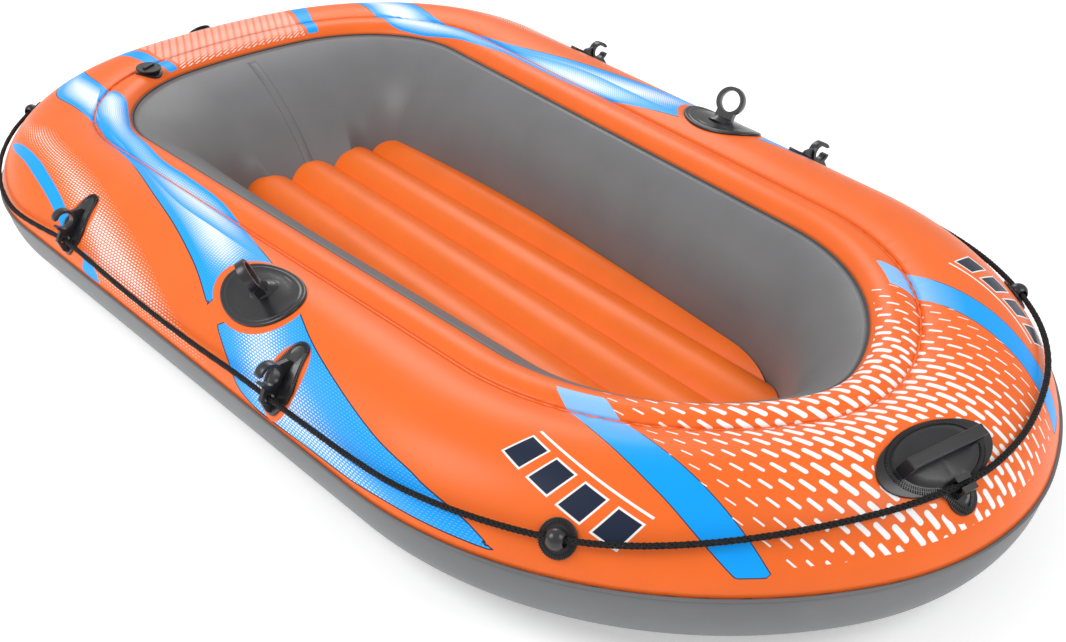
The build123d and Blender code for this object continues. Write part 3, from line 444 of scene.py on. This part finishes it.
class Ink:
    """Short calls for the arithmetic in the printed film's node tree."""

    def __init__(self, material):
        self.tree = material.node_tree

    def link(self, source, socket):
        if isinstance(source, (int, float)):
            socket.default_value = source
        elif isinstance(source, tuple):
            socket.default_value = (*source, 1)
        else:
            self.tree.links.new(source, socket)

    def sum(self, operation, *values, clamp=False):
        node = self.tree.nodes.new("ShaderNodeMath")
        node.operation = operation
        node.use_clamp = clamp
        for socket, value in zip(node.inputs, values):
            self.link(value, socket)
        return node.outputs[0]

    def read(self, name):
        node = self.tree.nodes.new("ShaderNodeAttribute")
        node.attribute_name = name
        return node.outputs["Fac"]

    def edge(self, depth, blur=0.0006):
        """1 where depth is positive, with an edge about blur wide."""
        return self.sum("MULTIPLY_ADD", depth, 1 / blur, 0.5, clamp=True)

    def ramp(self, value, low, high):
        return self.sum("DIVIDE", self.sum("SUBTRACT", value, low), high - low, clamp=True)

    def over(self, share, below, above):
        node = self.tree.nodes.new("ShaderNodeMix")
        node.data_type = "RGBA"
        self.link(share, node.inputs["Factor"])
        self.link(below, node.inputs["A"])
        self.link(above, node.inputs["B"])
        return node.outputs["Result"]

    def both(self, *shares):
        out = shares[0]
        for share in shares[1:]:
            out = self.sum("MULTIPLY", out, share)
        return out

    def dashes(self, along, across, pitch, spacing, half_length, half_width, shift):
        """Rounded dashes in staggered rows."""
        row = self.sum("FLOOR", self.sum("DIVIDE", across, spacing))
        place = self.sum("MULTIPLY_ADD", row, shift, self.sum("DIVIDE", along, pitch))
        dx = self.sum("SUBTRACT", self.sum("FRACT", place), 0.5)
        dx = self.sum("MULTIPLY", self.sum("ABSOLUTE", dx), pitch)
        dx = self.sum("MAXIMUM", self.sum("SUBTRACT", dx, half_length), 0.0)
        dy = self.sum("SUBTRACT", self.sum("FRACT", self.sum("DIVIDE", across, spacing)), 0.5)
        dy = self.sum("MULTIPLY", dy, spacing)
        reach = self.sum("SQRT", self.sum("ADD", self.sum("MULTIPLY", dx, dx), self.sum("MULTIPLY", dy, dy)))
        return self.edge(self.sum("SUBTRACT", half_width, reach), 0.0007)


ORANGE = (0.88, 0.150, 0.020)
BLUE = (0.0, 0.355, 0.98)
PALE = (0.74, 0.89, 0.98)
WHITE = (0.93, 0.93, 0.93)
NAVY = (0.012, 0.02, 0.045)


def printed_film():
    made = plastic("printed_orange_film", ORANGE, 0.38, coat=0.04, grain=420.0, grain_depth=0.035, tone=0.035)
    ink = Ink(made)
    shader = ink.tree.nodes["Principled BSDF"]
    base = shader.inputs["Base Color"].links[0].from_socket
    clear = ink.edge(ink.read("fitting_gap"))
    run, rise = ink.read("film_run"), ink.read("film_rise")

    dots_depth = ink.read("quarter_dots")
    dots = ink.dashes(ink.sum("ADD", run, ink.sum("MULTIPLY", rise, 0.6)), rise, 0.0085, 0.0042, 0.0018,
                      ink.sum("MULTIPLY", ink.ramp(dots_depth, 0.0, 0.035), 0.0014), 0.5)
    colour = ink.over(ink.both(dots, clear, ink.edge(dots_depth)), base, WHITE)

    quarter = ink.read("quarter_stripe")
    gap = ink.ramp(ink.sum("ABSOLUTE", ink.sum("SUBTRACT", run, 1.5325)), 0.0205, 0.0215)
    colour = ink.over(ink.both(ink.edge(quarter), clear, gap), colour, BLUE)

    sash, fold = ink.read("stern_sash"), ink.read("stern_sash_fold")
    left_white = ink.both(ink.ramp(sash, 0.010, 0.042), ink.ramp(rise, 0.105, 0.150))
    right_white = ink.both(ink.ramp(fold, 0.002, 0.030), ink.ramp(sash, 0.004, 0.030))
    on_fold = ink.edge(fold, 0.002)
    white = ink.over(on_fold, left_white, right_white)
    blend = ink.both(white, ink.ramp(run, 1.18, 1.30), 0.9)
    sash_colour = ink.over(blend, BLUE, PALE)
    screen = ink.dashes(ink.sum("ADD", run, ink.sum("MULTIPLY", rise, 0.5)), rise, 0.0060, 0.0034, 0.0004,
                        ink.sum("MULTIPLY", ink.both(white, ink.ramp(run, 1.17, 1.24)), 0.0015), 0.5)
    sash_colour = ink.over(screen, sash_colour, WHITE)
    colour = ink.over(ink.both(ink.edge(sash), clear), colour, sash_colour)
    outline = ink.both(ink.edge(ink.sum("SUBTRACT", 0.0008, ink.sum("ABSOLUTE", sash))), clear)
    outline = ink.both(outline, ink.edge(ink.sum("SUBTRACT", 0.205, rise), 0.01))
    colour = ink.over(outline, colour, NAVY)

    middle, middle_dots = ink.read("middle_sash"), ink.read("middle_dots")
    share = ink.ramp(middle_dots, 0.0, 0.035)
    mesh_along = ink.sum("ADD", run, ink.sum("MULTIPLY", rise, -0.35))
    mesh_print = ink.dashes(mesh_along, rise, 0.0066, 0.0034, 0.0013,
                            ink.sum("MULTIPLY", share, 0.0011), 0.5)
    middle_colour = ink.over(ink.both(ink.ramp(middle_dots, -0.02, 0.05), 0.15), BLUE, PALE)
    middle_colour = ink.over(mesh_print, middle_colour, WHITE)
    colour = ink.over(ink.both(ink.edge(middle), clear), colour, middle_colour)
    outline = ink.both(ink.edge(ink.sum("SUBTRACT", 0.0008, ink.sum("ABSOLUTE", middle))), clear)
    colour = ink.over(outline, colour, NAVY)

    stripe = ink.read("bow_stripe")
    stripe_colour = ink.over(ink.both(ink.ramp(rise, 0.17, 0.235), 0.35), BLUE, PALE)
    colour = ink.over(ink.edge(stripe), colour, stripe_colour)
    outline = ink.both(ink.edge(ink.sum("SUBTRACT", 0.0006, ink.sum("ABSOLUTE", stripe))),
                       ink.edge(ink.sum("SUBTRACT", 0.20, rise), 0.01))
    colour = ink.over(outline, colour, NAVY)

    flat_x, flat_y = ink.read("flat_x"), ink.read("flat_y")
    growth = ink.ramp(ink.read("bow_fade"), 0.0, 0.15)
    along = ink.sum("MULTIPLY_ADD", flat_x, 0.970, ink.sum("MULTIPLY", flat_y, 0.242))
    across = ink.sum("MULTIPLY_ADD", flat_x, -0.242, ink.sum("MULTIPLY", flat_y, 0.970))
    width = ink.sum("MULTIPLY_ADD", growth, 0.0032, 0.0006)
    length = ink.sum("MULTIPLY_ADD", growth, 0.0030, 0.0060)
    bars = ink.dashes(along, across, 0.036, 0.0132, length, width, 0.5)
    colour = ink.over(ink.both(bars, ink.edge(ink.read("bow_dashes")), clear), colour, WHITE)

    colour = ink.over(ink.edge(ink.read("stern_stripe")), colour, BLUE)
    lean_along = ink.sum("MULTIPLY_ADD", flat_x, -0.46, ink.sum("MULTIPLY", flat_y, 0.89))
    lean_across = ink.sum("MULTIPLY_ADD", flat_x, 0.89, ink.sum("MULTIPLY", flat_y, 0.46))
    fine = ink.dashes(lean_along, lean_across, 0.022, 0.0052, 0.0078, 0.0008, 0.28)
    colour = ink.over(ink.both(fine, ink.edge(ink.read("stern_patch"))), colour, WHITE)

    bx, by = ink.read("badge_x"), ink.read("badge_y")
    slant = ink.sum("MULTIPLY_ADD", by, 0.30, bx)
    cell = ink.sum("SUBTRACT", ink.sum("FRACT", ink.sum("DIVIDE", ink.sum("ADD", slant, 1.0), 0.050)), 0.5)
    wide = ink.sum("MULTIPLY", ink.sum("ABSOLUTE", cell), 0.050)
    depth = ink.sum("MINIMUM", ink.sum("SUBTRACT", 0.0185, wide),
                    ink.sum("SUBTRACT", 0.021, ink.sum("ABSOLUTE", by)))
    within = ink.edge(ink.sum("SUBTRACT", 0.100, ink.sum("ABSOLUTE", slant)))
    colour = ink.over(ink.both(ink.edge(depth), within), colour, WHITE)
    colour = ink.over(ink.both(ink.edge(ink.sum("SUBTRACT", depth, 0.0025)), within), colour, NAVY)
    rule = ink.sum("SUBTRACT", 0.0016, ink.sum("ABSOLUTE", ink.sum("SUBTRACT", by, 0.031)))
    ends = ink.edge(ink.sum("SUBTRACT", 0.095, ink.sum("ABSOLUTE", slant)))
    colour = ink.over(ink.both(ink.edge(rule), ends), colour, WHITE)
    ink.link(colour, shader.inputs["Base Color"])
    return made


def printed_sheet(name, line, first_rise, node):
    section = shell(line, FILM)
    rise_line = first_rise + np.r_[0, np.cumsum(np.linalg.norm(np.diff(line, axis=0), axis=1))]
    keep = np.linspace(0, len(line) - 1, 7).round().astype(int)[::-1]
    rise = np.r_[rise_line, rise_line[keep]]
    groove_rise = 0.2269
    run_grid, rise_grid = np.meshgrid(LOOP_RUN, rise, indexing="ij")
    side_grid = np.repeat(LOOP_SIDE[:, None], len(rise), axis=1)

    def puckers(points):
        """Small gathers where the film is drawn round a bend into its welds."""
        bend = np.clip(1 - np.abs(LOOP_RUN - 0.35) / 0.45, 0, 1)
        bend = bend + np.clip(1 - np.abs(LOOP_RUN - 2.05) / 0.40, 0, 1)
        wave = np.sin(LOOP_RUN * 2 * math.pi / 0.041) + 0.7 * np.sin(LOOP_RUN * 2 * math.pi / 0.0267 + 1.0)
        near = np.exp(-((rise - groove_rise) / 0.014) ** 2) + 0.8 * np.exp(-(rise / 0.010) ** 2)
        points[:, :, 2] += 0.0007 * (bend * wave)[:, None] * near[None, :]
        return points

    made = swept(name, section, puckers)
    reach = groove_rise - rise_grid
    flat = (LOOP_P - LOOP_N * GROOVE[0])[:, None, :] + LOOP_N[:, None, :] * reach[:, :, None]
    print_layers(made, run_grid, rise_grid, side_grid, flat[:, :, 0], flat[:, :, 1])
    made.data.materials.append(film)
    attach(made, "hull")
    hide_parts(node)


film = printed_film()
outer_line = top_arc(11.6, 112.4, 34)
printed_sheet("outer_top_film", outer_line, 0.0012, "outer_top_sheet")
lobe_line = arc_between((GROOVE[0] + 0.0013, GROOVE[1]), (INNER_EDGE[0] - 0.0013, INNER_EDGE[1]), 0.013, 15)
printed_sheet("inner_lobe_film", lobe_line, 0.2282, "inner_top_sheet")


# ---- grey film: underside of the outer tube and the cockpit's wall ----------------------------
# Plain grey PVC film. The underside lies flat between the tube and the floor; the wall runs from
# the cockpit's edge down to the floor, with a lap dead astern.
grey_film = plastic("grey_film", (0.165, 0.167, 0.172), 0.42, coat=0.04, grain=420.0, grain_depth=0.04,
                    tone=0.05)
low_angles = np.radians(np.linspace(1.0, -90.0, 26))
low_arc = np.c_[0.118 - 0.118 * np.cos(low_angles), 0.118 + 0.118 * np.sin(low_angles)]
under_line = np.vstack([np.linspace((0.3347, 0.0), (0.125, 0.0), 8), low_arc[::-1]])
underside = swept("underside_film", shell(under_line, FILM, 12))
underside.data.materials.append(grey_film)
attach(underside, "hull")
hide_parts("outer_bottom_sheet")

WALL_BULGE = 0.034
STERN_SLOPE = 0.145              # how much further the wall comes in at its foot, dead astern
wall_line = arc_between((INNER_EDGE[0] + 0.0013, INNER_EDGE[1] - 0.001), FLOOR_EDGE, WALL_BULGE, 30)
wall_line = np.vstack([wall_line, (FLOOR_EDGE[0], 0.004)])
wall_section = shell(wall_line, FILM)


def stern_slope(run, height):
    """How far the wall leans in at a place: nothing along the sides, most at the stern's foot."""
    share = np.clip((run - 1.2) / 1.2, 0, 1)
    fall = np.clip((INNER_EDGE[1] - height) / INNER_EDGE[1], 0, 1)
    return STERN_SLOPE * share * share * (2 - share * share) * fall ** 0.8


def lean_wall(points):
    lean = stern_slope(LOOP_RUN[:, None], wall_section[None, :, 1])
    points[:, :, :2] -= LOOP_N[:, None, :] * lean[:, :, None]
    return points


wall = swept("cockpit_wall_film", wall_section, lean_wall)
wall.data.materials.append(grey_film)
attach(wall, "hull")
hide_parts("inner_wall_sheet")

lap_points, lap_faces = [], []
lap_line = wall_line[2:-3]
lap_lean = stern_slope(STERN_RUN, lap_line[:, 1])
lap_out = np.gradient(lap_line + np.c_[lap_lean, np.zeros(len(lap_line))], axis=0)
lap_out /= np.linalg.norm(lap_out, axis=1, keepdims=True)
for proud, athwart in ((0.0, -0.0085), (0.0009, -0.0070), (0.0009, 0.0070), (0.0, 0.0085)):
    across_line = lap_line + np.c_[-lap_out[:, 1], lap_out[:, 0]] * proud
    lap_points.extend((-HULL_LENGTH / 2 + offset + lean, athwart, height)
                      for (offset, height), lean in zip(across_line, lap_lean))
rows = len(lap_line)
for column in range(4):
    beside = (column + 1) % 4
    lap_faces.extend((column * rows + k, column * rows + k + 1, beside * rows + k + 1, beside * rows + k)
                     for k in range(rows - 1))
lap_faces.append([column * rows for column in range(4)])
lap_faces.append([column * rows + rows - 1 for column in reversed(range(4))])
lap = mesh_object("wall_lap", lap_points, lap_faces)
face_outwards(lap)
lap.data.materials.append(grey_film)
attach(lap, "hull")
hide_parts("wall_lap_seam")


# ---- welds, floor and moulded fittings ---------------------------------------------------------
# The welds are thin pressed strips of the same PVC. The floor is orange film over upright webs.
# The fittings are moulded soft black PVC with their edges eased.
weld_grey = plastic("weld_grey", (0.075, 0.075, 0.078), 0.5, grain=700.0, grain_depth=0.2)
floor_orange = plastic("floor_orange_film", (0.84, 0.150, 0.012), 0.38, coat=0.05, grain=420.0,
                       grain_depth=0.035, tone=0.04)
moulded_black = plastic("moulded_black", (0.018, 0.018, 0.02), 0.30, coat=0.15, grain=1400.0,
                        grain_depth=0.10, tone=0.25, shine=0.45)


def finish_nodes(names, material):
    for name in names:
        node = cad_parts[name]
        node.data.materials.clear()
        node.data.materials.append(material)


flange_section = np.array([(-0.0035, 0.1192), (0.0025, 0.1192), (0.0025, 0.1208), (-0.0035, 0.1208)])
flange = swept("outer_weld_flange", flange_section)
flange.data.materials.append(grey_film)
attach(flange, "hull")
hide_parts("perimeter_weld")
groove_orange = plastic("groove_orange", (0.86, 0.145, 0.02), 0.4, grain=420.0, grain_depth=0.05, tone=0.04)
finish_nodes(["groove_weld"], groove_orange)
finish_nodes(["inner_edge_weld"], weld_grey)
finish_nodes(["chamber_divider", "floor_bottom_sheet", "floor_webs", "floor_edge_strip"], grey_film)
finish_nodes(["floor_top_sheet"], floor_orange)
MOULDED = ("oarlock", "oar_clip", "grommet", "bow_handle")
black_nodes = [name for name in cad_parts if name.startswith(MOULDED)]
finish_nodes(black_nodes, moulded_black)
for name in black_nodes:
    # A CAD node is loose triangles, so they are joined before their edges are eased.
    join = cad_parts[name].modifiers.new("join", "WELD")
    join.merge_threshold = 0.00002
    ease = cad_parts[name].modifiers.new("ease", "BEVEL")
    ease.width = 0.0009
    ease.segments = 2
    ease.limit_method = "ANGLE"
    ease.angle_limit = math.radians(38)


# ---- moulded plates of the fittings ------------------------------------------------------------
# Every oarlock, clip, grommet and the handle stands on a flexible black plate, welded to the film.
# The plate has a raised rim; on the clips, grommets and handle, fine ribs run round it where the welding tool
# pressed.
def film_place(signed_run, rise, lift):
    """Points on the outer tube: run from the bow's middle (starboard is positive), rise, height off it."""
    signed_run, rise, lift = np.broadcast_arrays(signed_run, rise, lift)
    run = np.abs(signed_run)
    x = np.interp(run, HALF_RUN, HALF_P[:, 0])
    y = np.interp(run, HALF_RUN, HALF_P[:, 1])
    nx = np.interp(run, HALF_RUN, HALF_N[:, 0])
    ny = np.interp(run, HALF_RUN, HALF_N[:, 1])
    side = np.where(signed_run > 0, -1.0, 1.0)
    angle = math.radians(11.05) + rise / TOP_RADIUS
    offset = TOP_CENTRE[0] - (TOP_RADIUS + lift) * np.cos(angle)
    height = TOP_CENTRE[1] + (TOP_RADIUS + lift) * np.sin(angle)
    return np.stack([x - nx * offset, side * (y - ny * offset), height], axis=-1)


def oval(half_run, half_rise, count=96):
    turn = np.linspace(0, 2 * math.pi, count, endpoint=False)
    return np.c_[half_run * np.cos(turn), half_rise * np.sin(turn)]


def hull_of(circles, count=96):
    """Outline drawn tight round circles of (run, rise, radius)."""
    turn = np.linspace(0, 2 * math.pi, count, endpoint=False)
    direction = np.c_[np.cos(turn), np.sin(turn)]
    reach = np.array([[direction[k] @ (a, b) + radius for a, b, radius in circles] for k in range(count)])
    best = reach.argmax(axis=1)
    middles = np.array([circle[:2] for circle in circles])
    radii = np.array([circle[2] for circle in circles])
    return middles[best] + radii[best][:, None] * direction


# Each ring of a plate: its share of the outline's size, and its height off the film.
PLATE_STEPS = [(1.000, 0.0002), (1.000, 0.0022), (0.985, 0.0034), (0.955, 0.0040), (0.925, 0.0035),
               (0.905, 0.0029), (0.870, 0.0029), (0.850, 0.0035), (0.830, 0.0029), (0.60, 0.0030),
               (0.30, 0.0031), (0.04, 0.0031)]


def plate(name, run, rise, outline):
    """A moulded plate on the tube, its outline given round its own middle."""
    centre = outline.mean(axis=0)
    rings = []
    for share, lift in PLATE_STEPS:
        line = centre + (outline - centre) * share
        rings.append(film_place(run + line[:, 0], rise + line[:, 1], lift))
    count = len(outline)
    points = np.vstack(rings)
    faces = []
    for ring in range(len(rings) - 1):
        for k in range(count):
            following = (k + 1) % count
            faces.append((ring * count + k, ring * count + following, (ring + 1) * count + following,
                          (ring + 1) * count + k))
    faces.append(list(range(count)))
    faces.append([(len(rings) - 1) * count + k for k in reversed(range(count))])
    made = mesh_object(name, points, faces)
    face_outwards(made, 0.00002)
    made.data.materials.append(moulded_black)
    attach(made, "hull")


def rib_tree():
    """Geometry Nodes: short ribs stood along a rim line."""
    tree = bpy.data.node_groups.new("rim_ribs", "GeometryNodeTree")
    face = tree.interface
    face.new_socket("Rim", in_out="INPUT", socket_type="NodeSocketGeometry")
    face.new_socket("Spacing", in_out="INPUT", socket_type="NodeSocketFloat")
    face.new_socket("Rib size", in_out="INPUT", socket_type="NodeSocketVector")
    face.new_socket("Material", in_out="INPUT", socket_type="NodeSocketMaterial")
    face.new_socket("Ribs", in_out="OUTPUT", socket_type="NodeSocketGeometry")
    start = tree.nodes.new("NodeGroupInput")
    end = tree.nodes.new("NodeGroupOutput")
    to_curve = tree.nodes.new("GeometryNodeMeshToCurve")
    spaced = tree.nodes.new("GeometryNodeResampleCurve")
    spaced.mode = "LENGTH"
    stood = tree.nodes.new("GeometryNodeInstanceOnPoints")
    rib = tree.nodes.new("GeometryNodeMeshCube")
    tangent = tree.nodes.new("GeometryNodeInputTangent")
    normal = tree.nodes.new("GeometryNodeInputNamedAttribute")
    normal.data_type = "FLOAT_VECTOR"
    normal.inputs["Name"].default_value = "film_normal"
    along = tree.nodes.new("FunctionNodeAlignRotationToVector")
    along.axis = "X"
    above = tree.nodes.new("FunctionNodeAlignRotationToVector")
    above.axis = "Z"
    above.pivot_axis = "X"
    real = tree.nodes.new("GeometryNodeRealizeInstances")
    dressed = tree.nodes.new("GeometryNodeSetMaterial")
    link = tree.links.new
    link(start.outputs["Rim"], to_curve.inputs["Mesh"])
    link(to_curve.outputs["Curve"], spaced.inputs["Curve"])
    link(start.outputs["Spacing"], spaced.inputs["Length"])
    link(spaced.outputs["Curve"], stood.inputs["Points"])
    link(start.outputs["Rib size"], rib.inputs["Size"])
    link(rib.outputs["Mesh"], stood.inputs["Instance"])
    link(tangent.outputs["Tangent"], along.inputs["Vector"])
    link(along.outputs["Rotation"], above.inputs["Rotation"])
    link(normal.outputs["Attribute"], above.inputs["Vector"])
    link(above.outputs["Rotation"], stood.inputs["Rotation"])
    link(stood.outputs["Instances"], real.inputs["Geometry"])
    link(real.outputs["Geometry"], dressed.inputs["Geometry"])
    link(start.outputs["Material"], dressed.inputs["Material"])
    link(dressed.outputs["Geometry"], end.inputs["Ribs"])
    return tree


RIM_RIBS = rib_tree()


def ribs(name, run, rise, outline, share=0.925, lift=0.0036, spacing=0.0026, size=(0.0011, 0.0062, 0.0014)):
    """Ribs across the plate's rim, all the way round."""
    centre = outline.mean(axis=0)
    line = centre + (outline - centre) * share
    low = film_place(run + line[:, 0], rise + line[:, 1], lift)
    high = film_place(run + line[:, 0], rise + line[:, 1], lift + 0.01)
    count = len(line)
    mesh = bpy.data.meshes.new(name)
    mesh.from_pydata([tuple(p) for p in low], [(k, (k + 1) % count) for k in range(count)], [])
    layer = mesh.attributes.new("film_normal", "FLOAT_VECTOR", "POINT")
    layer.data.foreach_set("vector", ((high - low) / 0.01).astype(np.float32).ravel())
    made = bpy.data.objects.new(name, mesh)
    bpy.context.scene.collection.objects.link(made)
    modifier = made.modifiers.new("ribs", "NODES")
    modifier.node_group = RIM_RIBS
    values = {"Spacing": spacing, "Rib size": size, "Material": moulded_black}
    for socket in RIM_RIBS.interface.items_tree:
        if socket.name in values:
            modifier[socket.identifier] = values[socket.name]
    bpy.context.view_layer.update()
    made.data = bpy.data.meshes.new_from_object(made.evaluated_get(bpy.context.evaluated_depsgraph_get()))
    made.modifiers.clear()
    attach(made, "hull")


CLIP_OUTLINE = hull_of([(0, 0.0417, 0.0148), (0, -0.0252, 0.0148), (-0.0120, -0.0050, 0.0176),
                        (0.0120, -0.0050, 0.0176)])
HANDLE_OUTLINE = oval(0.0825, 0.0405, 240) + (0, 0.011)
below = (HANDLE_OUTLINE[:, 1] < -0.015) & (np.abs(HANDLE_OUTLINE[:, 0]) < 0.034)
bell = 0.5 + 0.5 * np.cos(HANDLE_OUTLINE[:, 0] / 0.034 * math.pi)
HANDLE_OUTLINE[:, 1] -= np.where(below, 0.0285 * bell, 0)
for side_name, side in (("starboard", 1), ("port", -1)):
    plate(f"oarlock_plate_{side_name}", side * 1.1135, 0.1399, oval(0.0758, 0.0533))
    for place_name, run in (("aft", 1.5620), ("forward", 0.9725)):
        plate(f"clip_plate_{place_name}_{side_name}", side * run, 0.0613, CLIP_OUTLINE)
        ribs(f"clip_ribs_{place_name}_{side_name}", side * run, 0.0613, CLIP_OUTLINE)
    for place_name, run in (("bow", 0.5035), ("stern", 2.1334)):
        plate(f"grommet_plate_{place_name}_{side_name}", side * run, 0.0466, oval(0.0226, 0.0226))
        ribs(f"grommet_ribs_{place_name}_{side_name}", side * run, 0.0466, oval(0.0226, 0.0226), share=0.87)
plate("handle_plate", 0.0320, 0.1066, HANDLE_OUTLINE)
ribs("handle_ribs", 0.0320, 0.1066, HANDLE_OUTLINE, share=0.95, size=(0.0012, 0.0075, 0.0014))
valve_nodes = [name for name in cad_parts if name.endswith(("_seat", "_cap", "_plug"))]
finish_nodes(valve_nodes, moulded_black)
finish_nodes(["outer_valve_gasket", "inner_valve_gasket"], moulded_black)


# ---- studio ----------------------------------------------------------------------------------
# White floor, white surroundings and three soft lamps.
floor = mesh_object("studio_floor", [(-6, -6, -0.001), (6, -6, -0.001), (6, 6, -0.001), (-6, 6, -0.001)],
                    [(0, 1, 2, 3)], smooth=False)
floor_white = bpy.data.materials.new("studio_white")
floor_white.use_nodes = True
floor_white.node_tree.nodes["Principled BSDF"].inputs["Base Color"].default_value = (0.9, 0.9, 0.9, 1)
floor_white.node_tree.nodes["Principled BSDF"].inputs["Roughness"].default_value = 0.8
floor_white.node_tree.nodes["Principled BSDF"].inputs["Emission Color"].default_value = (1, 1, 1, 1)
floor_white.node_tree.nodes["Principled BSDF"].inputs["Emission Strength"].default_value = 0.35
floor.data.materials.append(floor_white)


def lamp(name, place, target, size, power):
    light = bpy.data.lights.new(name, "AREA")
    light.shape = "DISK"
    light.size = size
    light.energy = power
    stand = bpy.data.objects.new(name, light)
    stand.location = place
    stand.rotation_euler = (Vector(target) - Vector(place)).to_track_quat("-Z", "Y").to_euler()
    bpy.context.scene.collection.objects.link(stand)


lamp("key_lamp", (-0.8, -2.4, 2.6), (0, 0, 0.1), 1.8, 60)
lamp("bow_lamp", (2.6, 0.8, 2.2), (0.2, 0, 0.1), 1.6, 30)
lamp("stern_lamp", (-2.4, 1.6, 2.4), (0, 0, 0.1), 1.6, 30)
world = bpy.data.worlds.new("studio")
world.use_nodes = True
world.node_tree.nodes["Background"].inputs["Color"].default_value = (1, 1, 1, 1)
world.node_tree.nodes["Background"].inputs["Strength"].default_value = 0.58
bpy.context.scene.world = world
